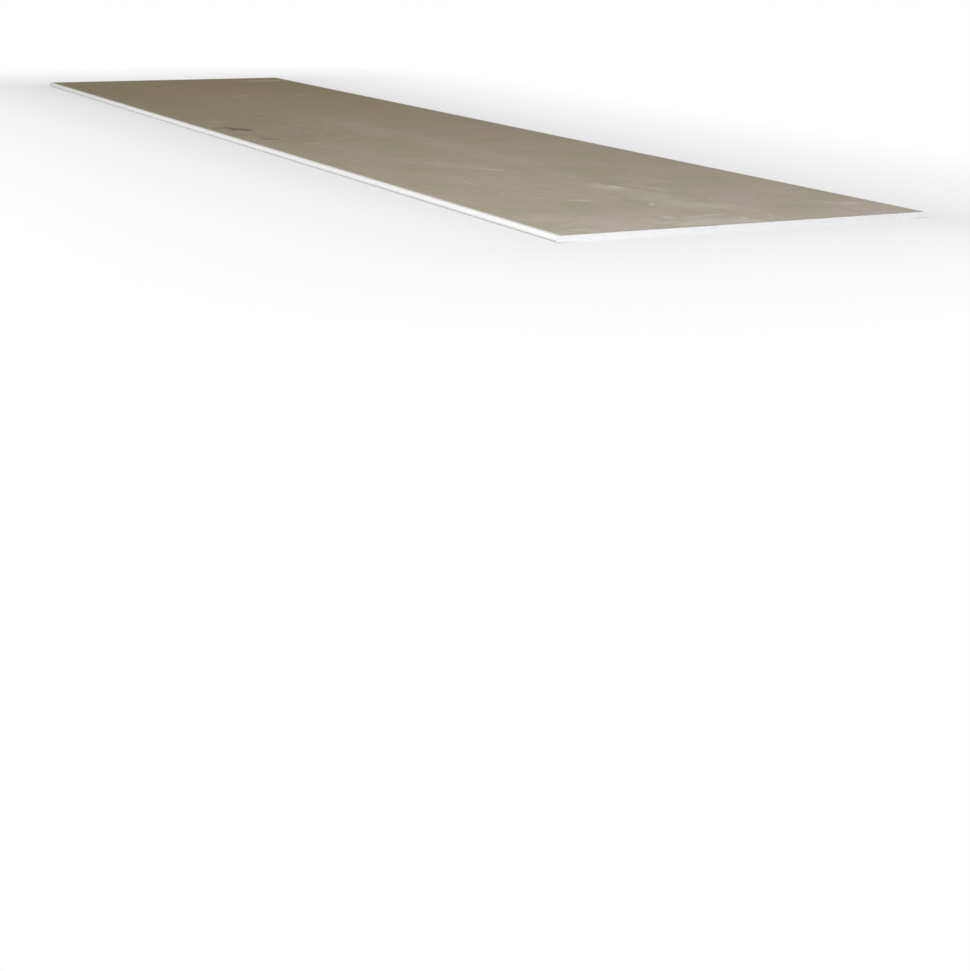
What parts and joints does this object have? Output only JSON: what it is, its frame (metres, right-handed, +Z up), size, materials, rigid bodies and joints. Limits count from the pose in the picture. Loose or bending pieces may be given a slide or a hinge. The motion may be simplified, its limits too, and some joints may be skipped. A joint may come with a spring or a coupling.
{
  "type": "drywall sheet",
  "caption": "Flat paper-faced gypsum board with tapered, rounded long edges and square-cut ends, lying face down with its back paper up.",
  "frame": {"origin": "middle of the finished face, which the sheet rests on", "axes": "+X across the sheet, +Y along its length, +Z up, out of its back"},
  "size_m": [0.6, 2.6, 0.0095],
  "materials": {
    "back_paper": "matte grey-brown recycled liner paper, dusty",
    "face_paper": "smooth off-white liner paper on the face and round the long edges",
    "gypsum_core": "matte powdery set gypsum, bare at the cut ends"
  },
  "bodies": {
    "root": {"board": "back_paper"}
  },
  "joints": []
}
